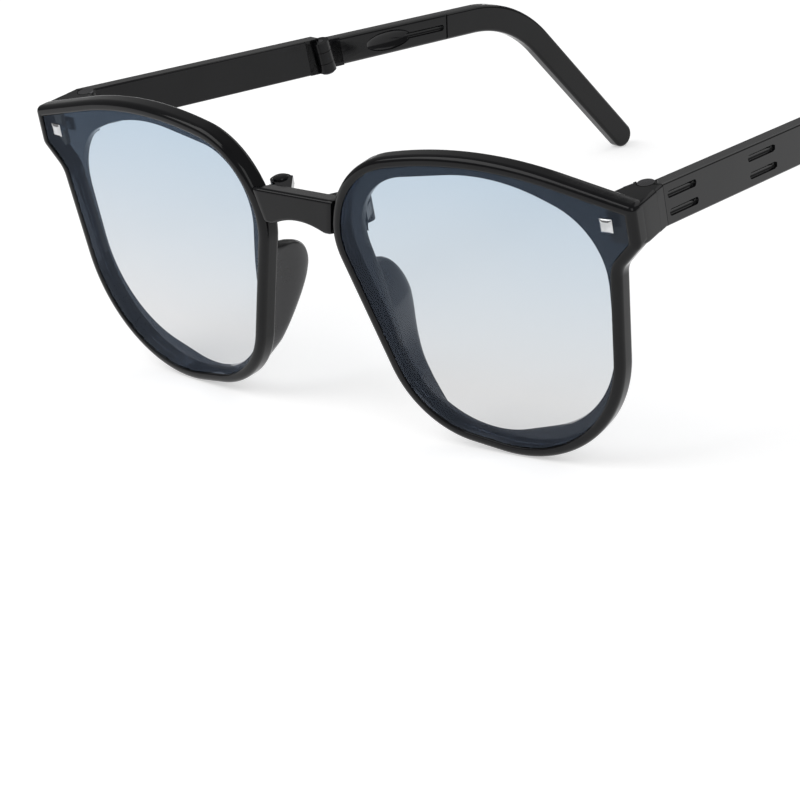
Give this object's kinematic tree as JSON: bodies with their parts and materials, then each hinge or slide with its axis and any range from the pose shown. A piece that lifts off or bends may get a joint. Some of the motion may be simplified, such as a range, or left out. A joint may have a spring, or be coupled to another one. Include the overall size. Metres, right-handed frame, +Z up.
{
  "type": "folding sunglasses",
  "caption": "Black folding sunglasses: wing-cornered rims with flat tinted lenses on a hinged bridge link, and temples that fold at the rim and again halfway.",
  "frame": {"origin": "centre of the bounding box's base: the plane that the rims and the temple tips stand on", "axes": "+X to the wearer's left, which is the picture's right; -Y out of the front; +Z up; the front leans 6.6 degrees forward"},
  "size_m": [0.1408, 0.1628, 0.0561],
  "materials": {
    "frame_black": "polished black injection-moulded plastic",
    "pad_black": "black moulded nose pad, slightly softer gloss",
    "lens_tint": "clear lens with a blue-grey tint that fades downward",
    "rivet_metal": "bright square rivet head",
    "hinge_metal": "blackened pin and screw",
    "tongue_metal": "bright brushed spring tongue"
  },
  "bodies": {
    "bridge": {"bridge_link": "frame_black", "bridge_hinge_pin_right": "hinge_metal", "bridge_hinge_pin_left": "hinge_metal"},
    "rim_right": {"rim_right": "frame_black", "lens_right": "lens_tint", "lens_rivet_right": "rivet_metal", "nose_pad_right": "pad_black", "temple_hinge_screw_right": "hinge_metal"},
    "tongue_right": {"hinge_tongue_right": "tongue_metal"},
    "temple_right": {"temple_front_right": "frame_black", "tip_hinge_pin_right": "hinge_metal"},
    "tip_right": {"temple_rear_right": "frame_black"},
    "rim_left": {"rim_left": "frame_black", "lens_left": "lens_tint", "lens_rivet_left": "rivet_metal", "nose_pad_left": "pad_black", "temple_hinge_screw_left": "hinge_metal"},
    "tongue_left": {"hinge_tongue_left": "tongue_metal"},
    "temple_left": {"temple_front_left": "frame_black", "tip_hinge_pin_left": "hinge_metal"},
    "tip_left": {"temple_rear_left": "frame_black"}
  },
  "joints": [
    {"name": "bridge_fold_right", "type": "hinge", "parent": "bridge", "child": "rim_right", "pos_m": [-0.0094, -0.07371, 0.04411], "axis": [0, 0.1149, -0.9934], "range_deg": [0, 84]},
    {"name": "temple_fold_right", "type": "hinge", "parent": "rim_right", "child": "tongue_right", "pos_m": [-0.06601, -0.06556, 0.04818], "axis": [0, 0.1149, -0.9934], "range_deg": [0, 87]},
    {"name": "temple_flex_right", "type": "slide", "parent": "tongue_right", "child": "temple_right", "axis": [0.1045, 0.9879, 0.1143], "range_m": [0, 0.001], "stiffness_N_per_m": 3000},
    {"name": "tip_fold_right", "type": "hinge", "parent": "temple_right", "child": "tip_right", "pos_m": [-0.05989, -0.00625, 0.04237], "axis": [0.0109, 0.2176, -0.976], "range_deg": [0, 180]},
    {"name": "bridge_fold_left", "type": "hinge", "parent": "bridge", "child": "rim_left", "pos_m": [0.0094, -0.07371, 0.04411], "axis": [0, -0.1149, 0.9934], "range_deg": [0, 84]},
    {"name": "temple_fold_left", "type": "hinge", "parent": "rim_left", "child": "tongue_left", "pos_m": [0.06601, -0.06556, 0.04818], "axis": [0, -0.1149, 0.9934], "range_deg": [0, 87]},
    {"name": "temple_flex_left", "type": "slide", "parent": "tongue_left", "child": "temple_left", "axis": [-0.1045, 0.9879, 0.1143], "range_m": [0, 0.001], "stiffness_N_per_m": 3000},
    {"name": "tip_fold_left", "type": "hinge", "parent": "temple_left", "child": "tip_left", "pos_m": [0.05989, -0.00625, 0.04237], "axis": [0.0109, -0.2176, 0.976], "range_deg": [0, 180]}
  ],
  "couplings": [
    {"joint": "bridge_fold_right", "follows": "tip_fold_right", "ratio": 0.46667},
    {"joint": "bridge_fold_left", "follows": "tip_fold_left", "ratio": 0.46667}
  ]
}
